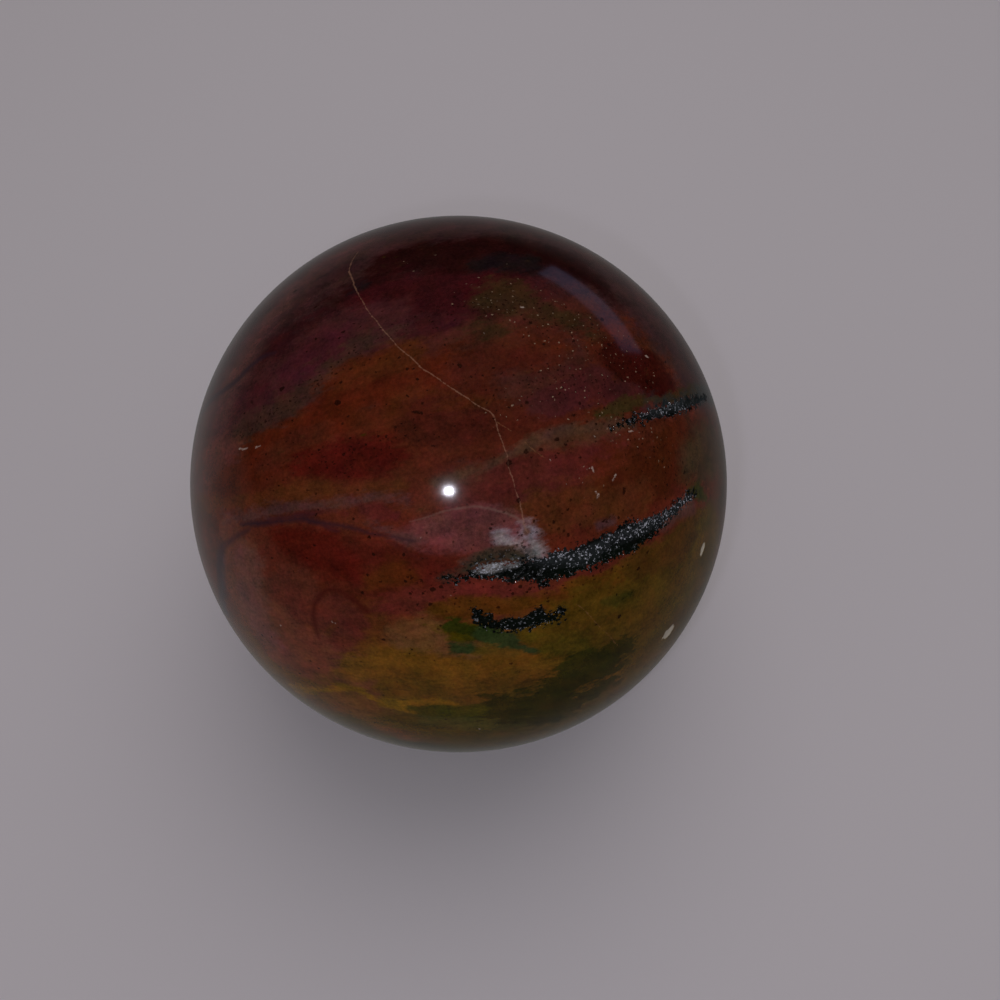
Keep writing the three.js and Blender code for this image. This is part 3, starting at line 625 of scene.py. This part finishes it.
# The fields are kept on the mesh in threes, which renders faster than one by one.
trios = [(*fields,)[start : start + 3] for start in range(0, len(fields), 3)]
for number, trio in enumerate(trios):
    values = np.zeros((len(skin), 3), np.float32)
    for column, name in enumerate(trio):
        values[:, column] = fields[name]
    attribute = ball_mesh.attributes.new("fields_%d" % number, "FLOAT_VECTOR", "POINT")
    attribute.data.foreach_set("vector", values.ravel())
ball = bpy.data.objects.new("polished_ball", ball_mesh)
bpy.context.scene.collection.objects.link(ball)
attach(ball, "root")
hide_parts(BALL)

# The stone's surface
# Jasper is opaque quartz, tumbled to a glassy polish: deep colour under a clear sharp gloss. The
# iron in it gives the reds, and the black seams are dull grains with bright faces among them.


def linear(hex_colour):
    """An sRGB hex colour as linear red, green, blue and alpha."""
    parts = [int(hex_colour[start : start + 2], 16) / 255 for start in (1, 3, 5)]
    return (*[part / 12.92 if part <= 0.04045 else ((part + 0.055) / 1.055) ** 2.4 for part in parts], 1)


def add(tree, kind, inputs, **settings):
    """Adds a node with its settings. An input is given as a value, or as the output that feeds it."""
    node = tree.nodes.new(kind)
    for name, value in settings.items():
        setattr(node, name, value)
    for socket, value in inputs.items():
        if isinstance(value, bpy.types.NodeSocket):
            tree.links.new(value, node.inputs[socket])
        else:
            node.inputs[socket].default_value = value
    return node


jasper = bpy.data.materials.new("polished_banded_jasper")
jasper.use_nodes = True
tree = jasper.node_tree
tree.nodes.clear()

# Patterns are measured in millimetres: along the beds, up through them, and into the stone. They
# fold with the beds, and those drawn out are longer along them.
place = add(tree, "ShaderNodeTexCoord", {}).outputs["Object"]
place = add(tree, "ShaderNodeVectorMath", {0: place, "Scale": 1 / MM}, operation="SCALE").outputs[0]
place = add(tree, "ShaderNodeMapping", {0: place, "Rotation": (FACE_TILT - math.pi / 2, 0, 0)}).outputs[0]
place = add(tree, "ShaderNodeSeparateXYZ", {0: place}).outputs
depths = {}
for number, trio in enumerate(trios):
    parts = add(tree, "ShaderNodeAttribute", {}, attribute_name="fields_%d" % number).outputs["Vector"]
    depths |= zip(trio, add(tree, "ShaderNodeSeparateXYZ", {0: parts}).outputs)
bed = depths["bed"]
along = add(tree, "ShaderNodeMath", {0: place[1], 1: BED_RISE, 2: place[0]}, operation="MULTIPLY_ADD").outputs[0]
bed_place = add(tree, "ShaderNodeCombineXYZ", {0: along, 1: bed, 2: place[2]}).outputs[0]
drawn_out = add(tree, "ShaderNodeMapping", {0: bed_place, "Scale": (0.4, 1, 0.6)}).outputs[0]

# Edges stray by a broad drift, and fray finely. The three parts of the colour of a noise are three
# separate noises, and neighbouring markings use different ones.
NOISE_SPREAD = 8
DRIFT, FRAY = 0.7 * NOISE_SPREAD, 0.5 * NOISE_SPREAD
drift = add(tree, "ShaderNodeTexNoise", {"Vector": drawn_out, "Scale": 1 / 3.5, "Detail": 4, "Roughness": 0.55})
fray = add(tree, "ShaderNodeTexNoise", {"Vector": drawn_out, "Scale": 1 / 0.7, "Detail": 5, "Roughness": 0.7})
stray = add(tree, "ShaderNodeVectorMath", {0: drift.outputs[1], 1: (DRIFT,) * 3, 2: (-(DRIFT + FRAY) / 2,) * 3},
            operation="MULTIPLY_ADD").outputs[0]
stray = add(tree, "ShaderNodeVectorMath", {0: fray.outputs[1], 1: (FRAY,) * 3, 2: stray},
            operation="MULTIPLY_ADD").outputs[0]
strays = add(tree, "ShaderNodeSeparateXYZ", {0: stray}).outputs

BEDS = [(-25, "#48421c"), (-21, "#5e4a1c"), (-17.5, "#704a10"), (-14, "#744a18"), (-11, "#6c3a1c"), (-8, "#642a1a"),
        (-4.5, "#66291c"), (-1, "#652e1e"), (3, "#5c2718"), (8, "#5c2815"), (12, "#50271f"), (15, "#451c1e"),
        (19, "#3a1719"), (25, "#351518")]
LOWEST, HIGHEST = BEDS[0][0], BEDS[-1][0]


def bed_colours(stray_mm, stops):
    """The colour and cover at each height among the beds. A stop is a height, a hex colour and a cover."""
    strayed = add(tree, "ShaderNodeMath", {0: strays[0], 1: stray_mm, 2: bed}, operation="MULTIPLY_ADD").outputs[0]
    share = add(tree, "ShaderNodeMapRange", {0: strayed, 1: LOWEST, 2: HIGHEST}).outputs[0]
    ramp = add(tree, "ShaderNodeValToRGB", {0: share})
    made = ramp.color_ramp.elements
    for level, hex_colour, cover in stops:
        stop = {LOWEST: made[0], HIGHEST: made[-1]}.get(level) or made.new((level - LOWEST) / (HIGHEST - LOWEST))
        stop.color = (*linear(hex_colour)[:3], cover)
    return ramp.outputs


colour = bed_colours(1.2, [(level, hex_colour, 1) for level, hex_colour in BEDS])[0]

for turn, (name, (hex_colour, softness, raggedness, _)) in enumerate(MARKINGS.items()):
    depth = add(tree, "ShaderNodeMath", {0: strays[turn % 3], 1: raggedness, 2: depths[name]},
                operation="MULTIPLY_ADD").outputs[0]
    share = add(tree, "ShaderNodeMapRange", {0: depth, 1: -softness, 2: softness / 2},
                interpolation_type="SMOOTHSTEP").outputs[0]
    colour = add(tree, "ShaderNodeMix", {0: share, 6: colour, 7: linear(hex_colour)}, data_type="RGBA").outputs[2]

# Beyond the showing face, thin beds come and go between the broad ones. Each is its height among
# them, its half width in mm and its colour.
THIN_BEDS = [(-19.6, 0.5, "#86723a"), (-14.6, 0.8, "#34320e"), (-10.5, 0.4, "#8a662e"), (-6.0, 0.5, "#441814"),
             (1.6, 0.5, "#74503e"), (11.0, 0.6, "#3a2224"), (16.2, 0.5, "#7a5a52"), (18.4, 0.7, "#22100f"),
             (20.1, 0.5, "#6e4a44"), (22.0, 1.3, "#682f1a")]
stops = [(LOWEST, "#000000", 0), (HIGHEST, "#000000", 0)]
for level, half_width, hex_colour in THIN_BEDS:
    stops += [(level - half_width, hex_colour, 0), (level, hex_colour, 0.9), (level + half_width, hex_colour, 0)]
thin_colour, thin_cover = bed_colours(0.7, stops)
middle = CENTRE.dot(TOWARD) / MM
beyond = add(tree, "ShaderNodeMapRange", {0: place[2], 1: middle + 12, 2: middle + 3}).outputs[0]
breaks = add(tree, "ShaderNodeMapRange", {0: strays[2], 1: -0.7, 2: 0.1, 3: 0.25, 4: 1}).outputs[0]
share = add(tree, "ShaderNodeMath", {0: beyond, 1: breaks}, operation="MULTIPLY").outputs[0]
share = add(tree, "ShaderNodeMath", {0: share, 1: thin_cover}, operation="MULTIPLY").outputs[0]
colour = add(tree, "ShaderNodeMix", {0: share, 6: colour, 7: thin_colour}, data_type="RGBA").outputs[2]

# Clouds a few millimetres across drift in shade and in hue. Finer streaks lie along the beds and
# are strongest in the golds and olives, and a fine grain shows all over.
cloud = add(tree, "ShaderNodeTexNoise", {"Vector": bed_place, "Scale": 1 / 2.6, "Detail": 6, "Roughness": 0.7})
hue = add(tree, "ShaderNodeVectorMath", {0: cloud.outputs[1], 1: (0.8,) * 3, 2: (0.6,) * 3},
          operation="MULTIPLY_ADD").outputs[0]
colour = add(tree, "ShaderNodeVectorMath", {0: colour, 1: hue}, operation="MULTIPLY").outputs[0]
streak_place = add(tree, "ShaderNodeMapping", {0: bed_place, "Scale": (0.22, 1, 0.4)}).outputs[0]
streaks = add(tree, "ShaderNodeTexNoise", {"Vector": streak_place, "Scale": 1 / 0.9, "Detail": 5, "Roughness": 0.65})
grain = add(tree, "ShaderNodeTexNoise", {"Vector": bed_place, "Scale": 1 / 0.3, "Detail": 3, "Roughness": 0.7})
strength = add(tree, "ShaderNodeMapRange", {0: bed, 1: -12, 2: -7, 3: 1.3, 4: 0.7}).outputs[0]
shade = add(tree, "ShaderNodeMath", {0: streaks.outputs[0], 1: 0.5}, operation="SUBTRACT").outputs[0]
shade = add(tree, "ShaderNodeMath", {0: shade, 1: strength, 2: -0.345}, operation="MULTIPLY_ADD").outputs[0]
shade = add(tree, "ShaderNodeMath", {0: cloud.outputs[0], 1: 1.3, 2: shade}, operation="MULTIPLY_ADD").outputs[0]
shade = add(tree, "ShaderNodeMath", {0: grain.outputs[0], 1: 1.4, 2: shade}, operation="MULTIPLY_ADD").outputs[0]
colour = add(tree, "ShaderNodeVectorMath", {0: colour, "Scale": shade}, operation="SCALE").outputs[0]
fine = add(tree, "ShaderNodeVectorMath", {0: grain.outputs[1], 1: (0.5,) * 3}, operation="SUBTRACT").outputs[0]
fine = add(tree, "ShaderNodeSeparateXYZ", {0: fine}).outputs

for turn, (name, (hex_colour, softness, cover, _)) in enumerate(LINES.items()):
    side, width = depths[name + "_side"], depths[name + "_width"]
    side = add(tree, "ShaderNodeMath", {0: strays[turn % 3], 1: 0.06, 2: side}, operation="MULTIPLY_ADD").outputs[0]
    side = add(tree, "ShaderNodeMath", {0: side}, operation="ABSOLUTE").outputs[0]
    width = add(tree, "ShaderNodeMath", {0: fine[turn % 3], 1: 0.3, 2: width}, operation="MULTIPLY_ADD").outputs[0]
    depth = add(tree, "ShaderNodeMath", {0: width, 1: side}, operation="SUBTRACT").outputs[0]
    share = add(tree, "ShaderNodeMapRange", {0: depth, 1: -softness, 2: softness, 3: 0, 4: cover}).outputs[0]
    colour = add(tree, "ShaderNodeMix", {0: share, 6: colour, 7: linear(hex_colour)}, data_type="RGBA").outputs[2]

# Iron specks, dark and a little uneven: fine ones thick in some zones and thin elsewhere, fewer
# coarse ones, and the single ones listed. Pale quartz dust lies in a zone of its own.
IRON = linear("#200a04")
QUARTZ = linear("#b49a80")
speckled, dusty = depths["speckled"], depths["dusty"]
bent = add(tree, "ShaderNodeVectorMath", {0: grain.outputs[1], 1: (0.4,) * 3, 2: bed_place},
           operation="MULTIPLY_ADD").outputs[0]
bent = add(tree, "ShaderNodeMapping", {0: bent, "Scale": (0.75, 1, 1)}).outputs[0]
cells = {size: add(tree, "ShaderNodeTexVoronoi", {"Vector": bent, "Scale": 1 / size}).outputs
         for size in (0.26, 0.4, 0.8, 1.8)}
lucks = {size: add(tree, "ShaderNodeSeparateColor", {0: cells[size]["Color"]}).outputs for size in cells}
specks = 0.0
for zone, reach_mm, cell_mm, speck_mm, scarce, thick, cover, speck_colour in (
    (speckled, 0.6, 0.26, 0.12, 0, 0.75, 0.7, IRON),
    (speckled, 2.5, 0.4, 0.14, 0.05, 0.6, 0.65, IRON),
    (speckled, 2.5, 0.8, 0.18, 0.1, 0.6, 0.75, IRON),
    (speckled, 2.5, 1.8, 0.28, 0.16, 0.5, 0.8, IRON),
    (dusty, 1.0, 0.26, 0.09, 0, 0.5, 0.6, QUARTZ),
):
    luck = lucks[cell_mm][zone == dusty]
    chance = add(tree, "ShaderNodeMapRange", {0: zone, 1: -reach_mm, 2: 1, 3: scarce, 4: thick}).outputs[0]
    size = add(tree, "ShaderNodeMapRange", {0: luck, 1: chance, 2: 0, 3: 0, 4: speck_mm / cell_mm}).outputs[0]
    inner = add(tree, "ShaderNodeMath", {0: size, 1: cells[cell_mm]["Distance"]}, operation="SUBTRACT").outputs[0]
    share = add(tree, "ShaderNodeMapRange", {0: inner, 1: 0, 2: 0.04 / cell_mm, 3: 0, 4: cover}).outputs[0]
    colour = add(tree, "ShaderNodeMix", {0: share, 6: colour, 7: speck_colour}, data_type="RGBA").outputs[2]
    specks = add(tree, "ShaderNodeMath", {0: specks, 1: share}, operation="MAXIMUM").outputs[0]
# The pale flecks are partly painted glints of tiny pits and partly dust.
for name, starts, cover, hex_colour in (("dark_specks", -0.01, 0.8, "#240e06"), ("pale_glints_and_dust", 0.03, 0.6, "#c8b4a8")):
    depth = add(tree, "ShaderNodeMath", {0: fine[2], 1: 0.5, 2: depths[name]}, operation="MULTIPLY_ADD").outputs[0]
    share = add(tree, "ShaderNodeMapRange", {0: depth, 1: starts, 2: starts + 0.06, 3: 0, 4: cover}).outputs[0]
    colour = add(tree, "ShaderNodeMix", {0: share, 6: colour, 7: linear(hex_colour)}, data_type="RGBA").outputs[2]
    specks = add(tree, "ShaderNodeMath", {0: specks, 1: share}, operation="MAXIMUM").outputs[0]

# The black seams: dark green and black grains, misted with white where quartz druse lines them. Painted
# glints and a painted grey sheen stand for light caught by their crystal faces. The edge of a seam breaks
# up into single grains.
SEAM_GRAIN_MM, GLINT_MM = 0.2, 0.1
grains = add(tree, "ShaderNodeTexVoronoi", {"Vector": bent, "Scale": 1 / SEAM_GRAIN_MM})
luck = add(tree, "ShaderNodeSeparateColor", {0: grains.outputs["Color"]}).outputs
glint_cells = add(tree, "ShaderNodeVectorMath", {0: bent, 1: (GLINT_MM,) * 3}, operation="SNAP").outputs[0]
glint_luck = add(tree, "ShaderNodeTexWhiteNoise", {"Vector": glint_cells}).outputs["Value"]


def zone_share(name, raggedness, softness, most):
    """How much of a zone's own look shows, from nought outside it to most well inside."""
    depth = {0: strays[1], 1: raggedness, 2: depths[name]}
    depth = add(tree, "ShaderNodeMath", depth, operation="MULTIPLY_ADD").outputs[0]
    return add(tree, "ShaderNodeMapRange", {0: depth, 1: -softness, 2: softness / 2, 3: 0, 4: most}).outputs[0]


druse, painted_glints = zone_share("druse", 0.25, 0.45, 0.85), zone_share("painted_glints", 0.4, 0.5, 0.12)
# Painted glints: pale blue dots where crystal faces catch the light, thickest where the seam glints and in the druse.
glint_share = add(tree, "ShaderNodeMath", {0: painted_glints, 1: 0.9, 2: glint_luck}, operation="MULTIPLY_ADD").outputs[0]
glint_share = add(tree, "ShaderNodeMath", {0: druse, 1: 0.3, 2: glint_share}, operation="MULTIPLY_ADD").outputs[0]
glint_share = add(tree, "ShaderNodeMapRange", {0: glint_share, 1: 0.95, 2: 1.04}).outputs[0]
black = linear("#020402")
# Among these colours, the grey and the pale blue are painted sheen and painted glints; the others are the grains' own
# colours.
for share, hex_colour in ((luck[0], "#101612"), (zone_share("greener_black", 0.2, 0.5, 0.6), "#0a150b"),
                          (painted_glints, "#6c747c"), (druse, "#9c9a9a"), (glint_share, "#b8bcc8")):
    black = add(tree, "ShaderNodeMix", {0: share, 6: black, 7: linear(hex_colour)}, data_type="RGBA").outputs[2]
edge_share = zone_share("grey_green_edge", 0.3, 0.5, 0.8)
colour = add(tree, "ShaderNodeMix", {0: edge_share, 6: colour, 7: linear("#343a2e")}, data_type="RGBA").outputs[2]
seam_depth = add(tree, "ShaderNodeAttribute", {}, attribute_name="seam").outputs["Fac"]
grain_share = add(tree, "ShaderNodeMath", {0: luck[2], 1: 0.5, 2: seam_depth}, operation="MULTIPLY_ADD").outputs[0]
grain_share = add(tree, "ShaderNodeMapRange", {0: grain_share, 1: 0.14, 2: 0.24}).outputs[0]
mottle = add(tree, "ShaderNodeMath", {0: luck[2], 1: 0.6}, operation="GREATER_THAN").outputs[0]
mottle = add(tree, "ShaderNodeMath", {0: mottle, 1: edge_share}, operation="MULTIPLY").outputs[0]
seam_share = add(tree, "ShaderNodeMath", {0: grain_share, 1: mottle}, operation="MAXIMUM").outputs[0]
colour = add(tree, "ShaderNodeMix", {0: seam_share, 6: colour, 7: black}, data_type="RGBA").outputs[2]
# Painted reflection haze: a smooth grey green laid over the seam's black at the end of the upper seam.
painted_haze_share = zone_share("seam_end_painted_haze", 0.7, 0.8, 0.85)
colour = add(tree, "ShaderNodeMix", {0: painted_haze_share, 6: colour, 7: linear("#2e3537")}, data_type="RGBA").outputs[2]

# Bruised stone in the chips is paler and dull.
chip_depth_mm = add(tree, "ShaderNodeAttribute", {}, attribute_name="chip").outputs["Fac"]
chip_share = add(tree, "ShaderNodeMapRange", {0: chip_depth_mm, 1: 0, 2: 0.05, 3: 0, 4: 0.9}).outputs[0]
colour = add(tree, "ShaderNodeMix", {0: chip_share, 6: colour, 7: linear("#c8c0b0")}, data_type="RGBA").outputs[2]

# The polish is a little uneven, less bright on the iron specks, and dull on the grains of the seams
# and in the chips. The grains of the seams stand up a few hundredths of a millimetre.
POLISH, UNEVEN = 0.07, 0.06
ROUGH_SPECK, ROUGH_GRAIN, GRAIN_HEIGHT = 0.15, 0.3, 0.07
gloss = add(tree, "ShaderNodeMath", {0: cloud.outputs[0], 1: UNEVEN, 2: POLISH}, operation="MULTIPLY_ADD").outputs[0]
gloss = add(tree, "ShaderNodeMath", {0: specks, 1: ROUGH_SPECK - POLISH, 2: gloss}, operation="MULTIPLY_ADD").outputs[0]
gloss = add(tree, "ShaderNodeMix", {0: seam_share, 2: gloss, 3: ROUGH_GRAIN}).outputs[0]
gloss = add(tree, "ShaderNodeMath", {0: gloss, 1: chip_share}, operation="MAXIMUM").outputs[0]
rough_share = add(tree, "ShaderNodeMapRange", {0: seam_depth, 1: -0.15, 2: 0.05}).outputs[0]
rough_share = add(tree, "ShaderNodeMath", {0: rough_share, 1: chip_share}, operation="MAXIMUM").outputs[0]
relief = add(tree, "ShaderNodeMath", {0: grain.outputs[0], 1: rough_share}, operation="MULTIPLY").outputs[0]
grainy = add(tree, "ShaderNodeBump", {"Strength": 1, "Distance": GRAIN_HEIGHT * MM, "Height": relief}, invert=True)

surface = add(tree, "ShaderNodeBsdfPrincipled", {"Base Color": colour, "Roughness": gloss, "IOR": 1.54,
                                                 "Normal": grainy.outputs[0]})
add(tree, "ShaderNodeOutputMaterial", {"Surface": surface.outputs[0]})
ball_mesh.materials.append(jasper)

# The floor and the light
# A plain pale sheet of card in a soft pale studio: a small lamp just beside the camera and a long
# low panel behind on the right, which the polish shows, and two broad lamps, which it does not.

FLOOR_SIDE = 4.0
card = bmesh.new()
bmesh.ops.create_grid(card, x_segments=1, y_segments=1, size=FLOOR_SIDE / 2)
floor_mesh = bpy.data.meshes.new("floor")
card.to_mesh(floor_mesh)
card.free()
floor = bpy.data.objects.new("floor", floor_mesh)
bpy.context.scene.collection.objects.link(floor)
floor.visible_glossy = False
paper = bpy.data.materials.new("matt_white_card")
paper.use_nodes = True
paper.node_tree.nodes["Principled BSDF"].inputs["Base Color"].default_value = linear("#dcd8df")
paper.node_tree.nodes["Principled BSDF"].inputs["Roughness"].default_value = 0.9
floor_mesh.materials.append(paper)


def lamp(name, place, width, height, power, hex_colour, shape="RECTANGLE", spread=180, shows_in_polish=True):
    """Adds a flat lamp that faces the ball. Its spread is in degrees."""
    light = bpy.data.lights.new(name, "AREA")
    light.shape = shape
    light.size = width
    light.size_y = height
    light.energy = power
    light.color = linear(hex_colour)[:3]
    light.spread = math.radians(spread)
    holder = bpy.data.objects.new(name, light)
    bpy.context.scene.collection.objects.link(holder)
    holder.location = place
    holder.rotation_euler = (CENTRE - place).to_track_quat("-Z", "Y").to_euler()
    holder.visible_glossy = shows_in_polish


lamp("small_lamp", eye.location - RIGHT * 0.0061 - UP * 0.0045, 0.0042, 0.0032, 0.0095, "#f3f1ff")
lamp("low_window", CENTRE + Vector((0.358, 0.463, 0.126)), 0.34, 0.11, 0.034, "#a8b4e8")
lamp("soft_lamp", CENTRE + Vector((0.05, 0.16, 0.42)), 0.5, 0.5, 0.232, "#fff8f4", shape="DISK", spread=120,
     shows_in_polish=False)
lamp("front_lamp", CENTRE + TOWARD * 0.55, 0.45, 0.45, 0.194, "#fffcfa", shape="DISK", shows_in_polish=False)

# The studio is evenly lit. What the polish shows of it is only a faint glow from below, weaker
# from the front and from the right.
SKY_LIGHT = 0.216
GLOW_FROM_BELOW = 0.14
sky = bpy.data.worlds.new("pale_studio")
sky.use_nodes = True
way = add(sky.node_tree, "ShaderNodeTexCoord", {}).outputs["Generated"]
way = add(sky.node_tree, "ShaderNodeSeparateXYZ", {0: way}).outputs
glow = add(sky.node_tree, "ShaderNodeMapRange", {0: way[2], 1: -0.6, 2: 0, 3: GLOW_FROM_BELOW, 4: 0}).outputs[0]
for axis, start, end, least, most in ((1, -0.5, 0, 0.4, 1), (0, 1, -1, 0.5, 1.3)):
    share = add(sky.node_tree, "ShaderNodeMapRange", {0: way[axis], 1: start, 2: end, 3: least, 4: most}).outputs[0]
    glow = add(sky.node_tree, "ShaderNodeMath", {0: glow, 1: share}, operation="MULTIPLY").outputs[0]
mirrored = add(sky.node_tree, "ShaderNodeLightPath", {}).outputs["Is Glossy Ray"]
brightness = add(sky.node_tree, "ShaderNodeMix", {0: mirrored, 2: SKY_LIGHT, 3: glow}).outputs[0]
sky.node_tree.nodes["Background"].inputs["Color"].default_value = linear("#fffafa")
sky.node_tree.links.new(brightness, sky.node_tree.nodes["Background"].inputs["Strength"])
bpy.context.scene.world = sky
bpy.context.scene.view_settings.view_transform = "Standard"
